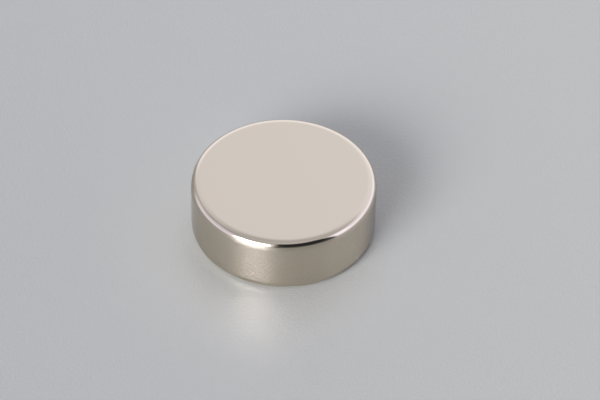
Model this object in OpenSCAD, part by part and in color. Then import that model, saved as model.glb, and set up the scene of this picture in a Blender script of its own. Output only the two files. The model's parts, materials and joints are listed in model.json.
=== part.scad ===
// Disc magnet: a sintered neodymium disc, tumbled along its edges and plated with nickel.
// It is one solid of revolution about Z, and stands on its lower pole face at z = 0.
// Each edge is the curve that tumbling leaves: a tight corner between two shallow roll-offs,
// one that leaves the pole face and one that leaves the rim. The arcs share tangents, and the
// edge is the same seen from the face as from the rim.

/* [Disc] */
// Diameter over the plating, 3/4 inch
diameter = 19.05; // [8:0.05:40]
// Thickness over the plating, from pole face to pole face, 1/4 inch
thickness = 6.35; // [4:0.05:15]

/* [Tumbled edge] */
// Radius of the tight corner
corner_r = 0.65; // [0.2:0.05:1]
// Along its own flat, how far a roll-off's centre lies back from the corner's centre
rolloff_back = 0.28; // [0.1:0.02:0.4]
// Square to its own flat, how far it lies back: more is shallower
rolloff_below = 0.96; // [0.5:0.02:1.5]

/* [Finish] */
// Bright nickel plating, a silver with a warm cast
plating_colour = "#D5CABB"; // ["#D5CABB":nickel, "#DADBDE":zinc, "#D9B45A":gold]

/* [Hidden] */

radius = diameter / 2;
mid_z = thickness / 2;

// Steps round the disc, and round each arc of its section
turn_fn = 240;
arc_fn = 144;

// A roll-off's round holds the corner's round and touches it from inside, so its radius
// is the corner's plus the distance between their centres
centre_gap = norm([rolloff_back, rolloff_below]);
rolloff_r = corner_r + centre_gap;

// Centres, seen from the disc's middle: the corner's, the face roll-off's, the rim roll-off's
corner_inset = rolloff_r - rolloff_below;
corner_centre = [radius - corner_inset, mid_z - corner_inset];
face_centre = corner_centre - [rolloff_back, rolloff_below];
rim_centre = corner_centre - [rolloff_below, rolloff_back];

// Unit normals of the pole face, of the two points where the rounds touch, and of the rim
face_normal = [0, 1];
face_touch = [rolloff_back, rolloff_below] / centre_gap;
rim_touch = [rolloff_below, rolloff_back] / centre_gap;
rim_normal = [1, 0];

// A slice of a round about the origin, between two of those normals
module arc_slice(r, from_normal, to_normal) {
    intersection() {
        circle(r = r, $fn = arc_fn);
        polygon([[0, 0], 2 * r * from_normal, 2 * r * to_normal]);
    }
}

// Edge of the upper pole face, with the disc's middle at y = 0
module edge() {
    translate(face_centre)
        arc_slice(rolloff_r, face_normal, face_touch);
    translate(corner_centre)
        arc_slice(corner_r, face_touch, rim_touch);
    translate(rim_centre)
        arc_slice(rolloff_r, rim_touch, rim_normal);
}

// Section from the axis to the rim, with the same edge on both pole faces
module section() {
    // Block under the flats of the pole faces
    translate([0, -mid_z])
        square([face_centre.x, thickness]);
    // Block behind the straight part of the rim
    translate([0, -rim_centre.y])
        square([radius, 2 * rim_centre.y]);
    for (flip = [0, 1])
        mirror([0, flip])
            edge();
}

module disc_magnet() {
    color(plating_colour)
        translate([0, 0, mid_z])
            rotate_extrude($fn = turn_fn)
                section();
}

disc_magnet();
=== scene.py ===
"""A nickel-plated disc magnet on a pale grey board, in the soft light of a small studio.

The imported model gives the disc's diameter and thickness. The disc is turned again here, fine
enough to mirror the studio without facets, and dressed in bright nickel.
"""

import json
import logging
import math
from dataclasses import dataclass, field
from enum import Enum
from typing import Any

import bpy
from mathutils import Matrix, Vector


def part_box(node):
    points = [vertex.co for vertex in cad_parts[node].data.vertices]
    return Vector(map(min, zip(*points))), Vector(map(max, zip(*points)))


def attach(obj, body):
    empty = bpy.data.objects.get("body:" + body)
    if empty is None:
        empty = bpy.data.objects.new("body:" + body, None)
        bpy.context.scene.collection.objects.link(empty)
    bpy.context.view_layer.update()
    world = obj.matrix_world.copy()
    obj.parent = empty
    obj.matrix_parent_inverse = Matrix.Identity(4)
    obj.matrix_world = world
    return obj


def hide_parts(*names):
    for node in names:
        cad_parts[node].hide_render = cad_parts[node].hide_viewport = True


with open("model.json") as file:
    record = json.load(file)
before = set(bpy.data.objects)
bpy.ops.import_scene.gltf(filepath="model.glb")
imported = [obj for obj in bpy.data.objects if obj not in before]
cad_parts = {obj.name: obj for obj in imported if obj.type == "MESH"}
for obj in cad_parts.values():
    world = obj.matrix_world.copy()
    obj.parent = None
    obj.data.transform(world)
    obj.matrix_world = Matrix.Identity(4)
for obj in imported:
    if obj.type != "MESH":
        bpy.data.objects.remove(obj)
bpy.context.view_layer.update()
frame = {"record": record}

MM = 0.001
BODY = "root"
NODE = "disc_magnet"
# A noise texture's value seldom leaves this range, so a pattern is spread over it
NOISE_LOW = 0.3
NOISE_HIGH = 0.7
log = logging.getLogger("disc_magnet")


def linear(hex_colour: str) -> tuple[float, float, float, float]:
    """Turns an sRGB colour into the linear one that a shader takes.

    Args:
        hex_colour: The colour as #RRGGBB.

    Returns:
        Red, green, blue and an alpha of 1, linear.
    """
    parts = [int(hex_colour[i : i + 2], 16) / 255 for i in (1, 3, 5)]
    # The numbers are those of the sRGB standard's curve
    red, green, blue = (
        c / 12.92 if c <= 0.04045 else ((c + 0.055) / 1.055) ** 2.4 for c in parts
    )
    return (red, green, blue, 1.0)


def add_node(
    tree: bpy.types.NodeTree,
    kind: str,
    links: dict[Any, Any] | None = None,
    values: dict[Any, Any] | None = None,
    **settings: Any,
) -> bpy.types.Node:
    """Adds a node with its settings, its values and its links.

    Args:
        tree: The node tree that gets the node.
        kind: The node's type, such as ShaderNodeMath.
        links: Input name or number to the output socket that feeds it.
        values: Input name or number to the value that stands in it.
        **settings: Properties of the node itself, such as operation.

    Returns:
        The new node.
    """
    node = tree.nodes.new(kind)
    for name, value in settings.items():
        setattr(node, name, value)
    for name, value in (values or {}).items():
        node.inputs[name].default_value = value
    for name, socket in (links or {}).items():
        tree.links.new(socket, node.inputs[name])
    return node


def grain(
    tree: bpy.types.NodeTree,
    where: bpy.types.NodeSocket,
    size: float,
    low: float,
    high: float,
    detail: float = 2.0,
) -> bpy.types.NodeSocket:
    """Makes a cloudy pattern with a real size.

    Args:
        tree: The material's nodes.
        where: The Object coordinates.
        size: Size of one cloud, in metres.
        low: The pattern's value in its hollows.
        high: The pattern's value on its peaks.
        detail: How many finer octaves it has.

    Returns:
        The pattern's output.
    """
    noise = add_node(
        tree, "ShaderNodeTexNoise", {"Vector": where}, {"Scale": 1 / size, "Detail": detail}
    )
    return add_node(
        tree,
        "ShaderNodeMapRange",
        {"Value": noise.outputs["Fac"]},
        {"From Min": NOISE_LOW, "From Max": NOISE_HIGH, "To Min": low, "To Max": high},
    ).outputs["Result"]


def raise_surface(
    tree: bpy.types.NodeTree, pattern: bpy.types.NodeSocket, height: float
) -> None:
    """Bumps a material's surface with a pattern that goes from 0 to 1.

    Args:
        tree: The material's nodes.
        pattern: The pattern's output.
        height: How far its peaks stand above its hollows, in metres.
    """
    bump = add_node(
        tree, "ShaderNodeBump", {"Height": pattern}, {"Strength": 1.0, "Distance": height}
    )
    tree.links.new(bump.outputs["Normal"], tree.nodes["Principled BSDF"].inputs["Normal"])


def fade(
    tree: bpy.types.NodeTree,
    angle: bpy.types.NodeSocket,
    middle: float,
    half: float,
    soft: float,
) -> bpy.types.NodeSocket:
    """Makes a mask that is 1 inside a span of angle and fades out at its ends.

    Args:
        tree: The world's nodes.
        angle: The angle, in radians.
        middle: The span's middle, in degrees.
        half: Half the span, in degrees.
        soft: Half the width of the fade, in degrees.

    Returns:
        The mask's output.
    """
    off = add_node(
        tree, "ShaderNodeMath", {0: angle}, {1: math.radians(middle)}, operation="SUBTRACT"
    )
    size = add_node(tree, "ShaderNodeMath", {0: off.outputs[0]}, operation="ABSOLUTE")
    return add_node(
        tree,
        "ShaderNodeMapRange",
        {"Value": size.outputs[0]},
        {
            "From Min": math.radians(half - soft),
            "From Max": math.radians(half + soft),
            "To Min": 1.0,
            "To Max": 0.0,
        },
        interpolation_type="SMOOTHSTEP",
    ).outputs["Result"]


def sky_angles(
    tree: bpy.types.NodeTree,
) -> tuple[bpy.types.NodeSocket, bpy.types.NodeSocket]:
    """Turns a direction in the world into two angles.

    Args:
        tree: The world's nodes.

    Returns:
        The azimuth, 0 at the camera and growing towards +X, and the elevation, in radians.
    """
    where = add_node(tree, "ShaderNodeTexCoord").outputs["Generated"]
    split = add_node(tree, "ShaderNodeSeparateXYZ", {"Vector": where})
    # The camera stands on the side of -Y
    front = add_node(
        tree, "ShaderNodeMath", {0: split.outputs["Y"]}, {1: -1.0}, operation="MULTIPLY"
    )
    azimuth = add_node(
        tree,
        "ShaderNodeMath",
        {0: split.outputs["X"], 1: front.outputs[0]},
        operation="ARCTAN2",
    )
    elevation = add_node(tree, "ShaderNodeMath", {0: split.outputs["Z"]}, operation="ARCSINE")
    return azimuth.outputs[0], elevation.outputs[0]


class PlatingMetal(Enum):
    """Metals that disc magnets are plated with, as sRGB colours."""

    NICKEL = "#CCC2B0"
    ZINC = "#DADBDE"
    GOLD = "#D9B45A"


@dataclass(frozen=True)
class TumbledEdge:
    """The edge that tumbling leaves: a tight corner between two shallow roll-offs.

    One roll-off leaves the pole face and one leaves the rim. The arcs share tangents, and the
    edge is the same seen from the face as from the rim. The centre of the face's roll-off lies
    rolloff_back in from the corner's centre and rolloff_below beneath it.
    """

    corner_r: float = 0.65 * MM
    rolloff_back: float = 0.28 * MM
    rolloff_below: float = 0.96 * MM

    @property
    def rolloff_r(self) -> float:
        """Radius of a roll-off, whose round holds the corner's."""
        return self.corner_r + math.hypot(self.rolloff_back, self.rolloff_below)

    @property
    def rolloff_turn(self) -> float:
        """Angle that a roll-off turns through, in radians."""
        return math.atan2(self.rolloff_back, self.rolloff_below)

    @property
    def corner_turn(self) -> float:
        """Angle that is left for the corner, in radians."""
        return math.pi / 2 - 2 * self.rolloff_turn

    @property
    def corner_inset(self) -> float:
        """How far the corner's centre lies in from the rim and below the pole face."""
        return self.rolloff_r - self.rolloff_below

    @property
    def reach(self) -> float:
        """How far in from the rim, and down from the face, the edge reaches."""
        return self.corner_inset + self.rolloff_back


@dataclass(frozen=True)
class BrightPlating:
    """Bright plating on a tumbled block: a silvery mirror with a faint satin haze.

    The grazing colour makes the mirror a little darker where it is seen at a flat angle, as
    nickel is. The haze is how far the roughness goes up and down, and the peel is the slight
    waviness that plating has.
    """

    metal: PlatingMetal = PlatingMetal.NICKEL
    grazing: str = "#E6E6E8"
    roughness: float = 0.1
    haze: float = 0.02
    haze_size: float = 1.6 * MM
    peel_size: float = 0.5 * MM
    peel_height: float = 0.0002 * MM

    def material(self) -> bpy.types.Material:
        """Makes the plating's material.

        Returns:
            The material, with its patterns on Object coordinates.
        """
        # The plating gives the eye a warm silver mirror: a plain, even face, a wall that takes
        # the board's tone, and an edge that draws the studio's lamps as thin sharp lines
        made = bpy.data.materials.new("Bright_nickel_plating")
        made.use_nodes = True
        tree = made.node_tree
        shader = tree.nodes["Principled BSDF"]
        shader.inputs["Base Color"].default_value = linear(self.metal.value)
        shader.inputs["Metallic"].default_value = 1.0
        shader.inputs["Specular Tint"].default_value = linear(self.grazing)
        where = add_node(tree, "ShaderNodeTexCoord").outputs["Object"]
        # The haze keeps the mirror from looking like glass. Its clouds are drawn coarser than the
        # real tumbling marks, which are a few hundredths of a millimetre, so that they show
        satin = grain(
            tree, where, self.haze_size, self.roughness - self.haze, self.roughness + self.haze
        )
        tree.links.new(satin, shader.inputs["Roughness"])
        peel = grain(tree, where, self.peel_size, 0.0, 1.0, detail=1.0)
        raise_surface(tree, peel, self.peel_height)
        return made


@dataclass
class MagnetBody:
    """The whole magnet: one turned form with the same tumbled edge on both pole faces.

    The holding ring is a narrow ring of faces beside each edge, which keeps the pole face's
    shading flat.
    """

    diameter: float
    thickness: float
    edge: TumbledEdge = field(default_factory=TumbledEdge)
    plating: BrightPlating = field(default_factory=BrightPlating)
    turn_steps: int = 360
    rolloff_steps: int = 10
    corner_steps: int = 16
    face_steps: int = 6
    rim_steps: int = 6
    holding_ring: float = 0.02 * MM
    start_size: float = 1 * MM
    merge_distance: float = 0.001 * MM

    @property
    def radius(self) -> float:
        """Radius over the plating."""
        return self.diameter / 2

    def _step(self, offset: tuple[float, float, float], times: int = 1) -> None:
        """Extrudes the section's last point in equal steps.

        Args:
            offset: The whole way, in metres.
            times: How many steps it takes.
        """
        for _ in range(times):
            part = tuple(c / times for c in offset)
            bpy.ops.mesh.extrude_region_move(TRANSFORM_OT_translate={"value": part})

    def _arc(self, centre_x: float, centre_z: float, angle: float, steps: int) -> None:
        """Spins the section's last point into an arc that turns down and in.

        Args:
            centre_x: The arc's centre, out from the axis.
            centre_z: The arc's centre, up from the lower pole face.
            angle: How far it turns, in radians.
            steps: How many edges the arc has.
        """
        bpy.ops.mesh.spin(
            steps=steps, angle=angle, center=(centre_x, 0, centre_z), axis=(0, -1, 0)
        )

    def _draw_section(self) -> None:
        """Draws the section on from its first point, down the rim to the lower pole."""
        edge = self.edge
        flat_x = self.radius - edge.reach
        corner_x = self.radius - edge.corner_inset
        rim_x = self.radius - edge.rolloff_r
        inner = flat_x - self.holding_ring
        straight = self.thickness - 2 * edge.reach
        rolloff = (edge.rolloff_turn, self.rolloff_steps)
        corner = (edge.corner_turn, self.corner_steps)
        self._step((inner, 0, 0), self.face_steps)
        self._step((self.holding_ring, 0, 0))
        self._arc(flat_x, self.thickness - edge.rolloff_r, *rolloff)
        self._arc(corner_x, self.thickness - edge.corner_inset, *corner)
        self._arc(rim_x, self.thickness - edge.reach, *rolloff)
        self._step((0, 0, -straight), self.rim_steps)
        self._arc(rim_x, edge.reach, *rolloff)
        self._arc(corner_x, edge.corner_inset, *corner)
        self._arc(flat_x, edge.rolloff_r, *rolloff)
        self._step((-self.holding_ring, 0, 0))
        self._step((-inner, 0, 0), self.face_steps)

    def build(self) -> bpy.types.Object:
        """Draws the section from pole to pole and turns it about Z.

        Returns:
            The finished mesh object, at the origin.
        """
        bpy.ops.object.select_all(action="DESELECT")
        bpy.ops.mesh.primitive_plane_add(size=self.start_size, location=(0, 0, 0))
        body = bpy.context.object
        body.name = "plated_body"
        body.data.name = "plated_body"
        bpy.ops.object.mode_set(mode="EDIT")
        # The plane becomes the section's first point, in the middle of the upper pole face
        bpy.ops.mesh.select_all(action="SELECT")
        bpy.ops.mesh.merge(type="CENTER")
        bpy.ops.transform.translate(value=(0, 0, self.thickness))
        self._draw_section()
        bpy.ops.mesh.select_all(action="SELECT")
        bpy.ops.mesh.spin(
            steps=self.turn_steps, angle=2 * math.pi, center=(0, 0, 0), axis=(0, 0, 1)
        )
        # The spin leaves a seam and a bunch of points at each pole, which are closed here
        bpy.ops.mesh.select_all(action="SELECT")
        bpy.ops.mesh.remove_doubles(threshold=self.merge_distance)
        bpy.ops.mesh.normals_make_consistent(inside=False)
        bpy.ops.object.mode_set(mode="OBJECT")
        bpy.ops.object.shade_smooth()
        return body

    def dress(self, body: bpy.types.Object) -> None:
        """Gives the body its plating."""
        body.data.materials.append(self.plating.material())


@dataclass(frozen=True)
class SatinBoard:
    """Pale grey laminate: satin, with a fine grain that sparkles in glancing light.

    Its colour goes from the left colour to the right one within a span on each side of the disc.
    That change is painted shade: the board is painted darker to the left, where the room's light
    falls off.
    """

    # Both colours carry painted shade: the left one is painted darker, where the room's light
    # falls off
    shaded_left: str = "#93948E"
    lit_right: str = "#999A92"
    span: float = 30 * MM
    roughness: float = 0.39
    ior: float = 1.76
    grain_size: float = 0.3 * MM
    grain_height: float = 0.018 * MM

    def material(self) -> bpy.types.Material:
        """Makes the board's material.

        Returns:
            The material, painted a little darker to the left: painted shade where the room's
            light falls off.
        """
        # The laminate gives the eye a quiet grey ground with a soft shadow, and a fine sparkle
        # where the lamp glances off it, also in the magnet's wall
        made = bpy.data.materials.new("Satin_grey_laminate")
        made.use_nodes = True
        tree = made.node_tree
        shader = tree.nodes["Principled BSDF"]
        shader.inputs["Roughness"].default_value = self.roughness
        shader.inputs["IOR"].default_value = self.ior
        where = add_node(tree, "ShaderNodeTexCoord").outputs["Object"]
        split = add_node(tree, "ShaderNodeSeparateXYZ", {"Vector": where})
        across = add_node(
            tree,
            "ShaderNodeMapRange",
            {"Value": split.outputs["X"]},
            {"From Min": -self.span, "From Max": self.span},
        )
        # The colour's change from left to right is painted shade and light, standing in for the
        # room's light falling off to the left
        painted_falloff = add_node(
            tree,
            "ShaderNodeMix",
            {"Factor": across.outputs["Result"]},
            {"A": linear(self.shaded_left), "B": linear(self.lit_right)},
            data_type="RGBA",
        )
        tree.links.new(painted_falloff.outputs["Result"], shader.inputs["Base Color"])
        # The grain is drawn about three times as coarse as a real laminate's, so that it shows
        height = grain(tree, where, self.grain_size, 0.0, 1.0)
        raise_surface(tree, height, self.grain_height)
        return made


@dataclass(frozen=True)
class Panel:
    """A patch of the studio's surround, as seen from the disc.

    Azimuth is 0 at the camera and grows towards +X. Angles are in degrees, and level is the
    patch's brightness, where 1 is white. Each edge fades over twice its soft angle.
    """

    name: str
    azimuth: float
    half_width: float
    low: float
    high: float
    level: float
    soft_across: float
    soft_along: float
    tint: str = "#FFFFFF"

    def hang(
        self,
        tree: bpy.types.NodeTree,
        azimuth: bpy.types.NodeSocket,
        elevation: bpy.types.NodeSocket,
        behind: bpy.types.NodeSocket,
    ) -> bpy.types.NodeSocket:
        """Hangs the panel in front of what the surround has so far.

        Args:
            tree: The world's nodes.
            azimuth: The azimuth looked at, in radians.
            elevation: The elevation looked at, in radians.
            behind: The surround's colour so far.

        Returns:
            The surround's colour with the panel in it.
        """
        turned = add_node(
            tree,
            "ShaderNodeMath",
            {0: azimuth},
            {1: math.radians(self.azimuth)},
            operation="SUBTRACT",
        )
        wrapped = add_node(
            tree,
            "ShaderNodeMath",
            {0: turned.outputs[0]},
            {1: math.pi, 2: -math.pi},
            operation="WRAP",
        )
        across = fade(tree, wrapped.outputs[0], 0.0, self.half_width, self.soft_across)
        middle = (self.low + self.high) / 2
        half = (self.high - self.low) / 2
        along = fade(tree, elevation, middle, half, self.soft_along)
        mask = add_node(tree, "ShaderNodeMath", {0: across, 1: along}, operation="MULTIPLY")
        return add_node(
            tree,
            "ShaderNodeMix",
            {"Factor": mask.outputs[0], "A": behind},
            {"B": tuple(self.level * c for c in linear(self.tint))},
            label=self.name,
            data_type="RGBA",
        ).outputs["Result"]


@dataclass
class Studio:
    """The board, the light and the camera.

    The ceiling's level shows where no panel hangs. Daylight tints the whole surround and
    strength scales it. The lens and the sensor are in millimetres, and aim is the point that
    the camera looks at.
    """

    surface: SatinBoard = field(default_factory=SatinBoard)
    board_size: float = 3.0
    backdrop: str = "#D6D7E4"
    elevation: float = 44.65
    distance: float = 381 * MM
    lens: float = 220.7
    sensor: float = 36.0
    nearest: float = 0.01
    farthest: float = 10.0
    aim: tuple[float, float, float] = (1.69 * MM, 1.76 * MM, 1.78 * MM)
    roll: float = 0.95
    daylight: str = "#F4F4FF"
    strength: float = 1.105
    ceiling: float = 0.65
    # Each panel hangs in front of those before it
    panels: tuple[Panel, ...] = (
        Panel("zenith", 0, 200, 76, 100, 0.71, 5, 5),
        # The back wall is what the pole face mirrors
        Panel("back_wall", 180, 75, -90, 55, 1.05, 8, 14, "#FCFDFF"),
        Panel("back_right", 150, 26, -90, 53, 1.19, 14, 12, "#FCFDFF"),
        Panel("back_glow", 170, 40, 2, 31, 1.45, 12, 7, "#FCFDFF"),
        Panel("back_left_gap", -136, 12, -90, 50, 0.65, 8, 14),
        Panel("gap_low", -134, 12, -90, 15, 0.46, 8, 6),
        # The cards at the sides draw the pale lines along the edge
        Panel("left_card", -88, 32, -90, 46, 1.05, 6, 8, "#F4F3FF"),
        Panel("left_low", -85, 30, -90, 18, 1.3, 6, 8, "#F4F3FF"),
        Panel("left_gap", -118, 18, 38, 60, 0.6, 10, 5),
        Panel("left_band", -92, 24, 50, 68, 0.55, 8, 4),
        Panel("right_card", 102, 42, -90, 50, 1.3, 5, 8, "#F4F3FF"),
        Panel("right_mid", 101, 44, -90, 30, 1.66, 6, 6, "#F4F3FF"),
        Panel("right_low", 100, 45, -90, 8, 1.15, 6, 6, "#F4F3FF"),
        Panel("right_gap", 128, 14, 52, 64, 0.66, 8, 4),
        Panel("right_hot", 72, 12, 16, 48, 1.75, 4, 8, "#F4F3FF"),
        # The dark room behind the camera draws the black line along the front of the edge
        Panel("dark_room", 25, 34, -90, 66, 0.03, 2.5, 4),
        Panel("dark_low", 25, 34, -90, 17, 0.13, 2.5, 6),
        # The key lamp gives the edge's highlight, the board's bright spot and the disc's shadow
        Panel("key_box", -37.5, 19, -3, 47, 1.4, 4, 8),
        Panel("key_top", -30, 13, 30, 57, 1.3, 4, 5),
        Panel("key_core", -36, 16.5, 17, 38, 24.5, 7, 8),
    )

    def light(self) -> None:
        """Makes the world: a surround of panels that the camera itself doesn't see."""
        world = bpy.data.worlds.new("Soft_studio")
        bpy.context.scene.world = world
        world.use_nodes = True
        tree = world.node_tree
        tree.nodes.clear()
        azimuth, elevation = sky_angles(tree)
        surround = add_node(tree, "ShaderNodeRGB").outputs["Color"]
        surround.default_value = (self.ceiling, self.ceiling, self.ceiling, 1)
        for panel in self.panels:
            surround = panel.hang(tree, azimuth, elevation, surround)
        tinted = add_node(
            tree,
            "ShaderNodeMix",
            {"A": surround},
            {"Factor": 1.0, "B": linear(self.daylight)},
            data_type="RGBA",
            blend_type="MULTIPLY",
        )
        light = add_node(
            tree,
            "ShaderNodeBackground",
            {"Color": tinted.outputs["Result"]},
            {"Strength": self.strength},
        )
        plain = add_node(tree, "ShaderNodeBackground", values={"Color": linear(self.backdrop)})
        ray = add_node(tree, "ShaderNodeLightPath")
        both = add_node(
            tree,
            "ShaderNodeMixShader",
            {0: ray.outputs["Is Camera Ray"], 1: light.outputs[0], 2: plain.outputs[0]},
        )
        add_node(tree, "ShaderNodeOutputWorld", {"Surface": both.outputs[0]})

    def board(self) -> bpy.types.Object:
        """Lays the pale board that the disc lies on.

        Returns:
            The board, which isn't part of the object.
        """
        bpy.ops.object.select_all(action="DESELECT")
        bpy.ops.mesh.primitive_plane_add(size=self.board_size, location=(0, 0, 0))
        board = bpy.context.object
        board.name = "board"
        board.data.materials.append(self.surface.material())
        return board

    def camera(self) -> bpy.types.Object:
        """Sets the camera at the photograph's viewing angle.

        Returns:
            The camera, which the scene uses.
        """
        tilt = math.radians(self.elevation)
        back = Vector((0, -math.cos(tilt), math.sin(tilt)))
        place = back * self.distance
        bpy.ops.object.camera_add(location=place)
        camera = bpy.context.object
        look = Vector(self.aim) - place
        turn = look.to_track_quat("-Z", "Y").to_matrix().to_4x4()
        camera.matrix_world = (
            Matrix.Translation(place) @ turn @ Matrix.Rotation(math.radians(self.roll), 4, "Z")
        )
        camera.data.lens = self.lens
        camera.data.sensor_width = self.sensor
        camera.data.clip_start = self.nearest
        camera.data.clip_end = self.farthest
        bpy.context.scene.camera = camera
        return camera


def main() -> None:
    """Builds the disc and its studio."""
    logging.basicConfig(level=logging.INFO, format="%(name)s: %(message)s")
    scene = bpy.context.scene
    scene.view_settings.view_transform = "Standard"
    # The default filter blurs the light that the plating throws on the board
    scene.cycles.blur_glossy = 0.0
    studio = Studio()
    studio.light()
    studio.board()
    studio.camera()
    low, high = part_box(NODE)
    rim = next(m for m in frame["record"]["mounts"] if m["name"] == "rim")
    magnet = MagnetBody(diameter=2 * rim["dims"]["r_mm"] * MM, thickness=high.z - low.z)
    body = magnet.build()
    magnet.dress(body)
    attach(body, BODY)
    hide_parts(NODE)
    faces = len(body.data.polygons)
    log.info("%s: %d faces, %.3f mm across", body.name, faces, magnet.diameter / MM)


if __name__ == "__main__":
    main()
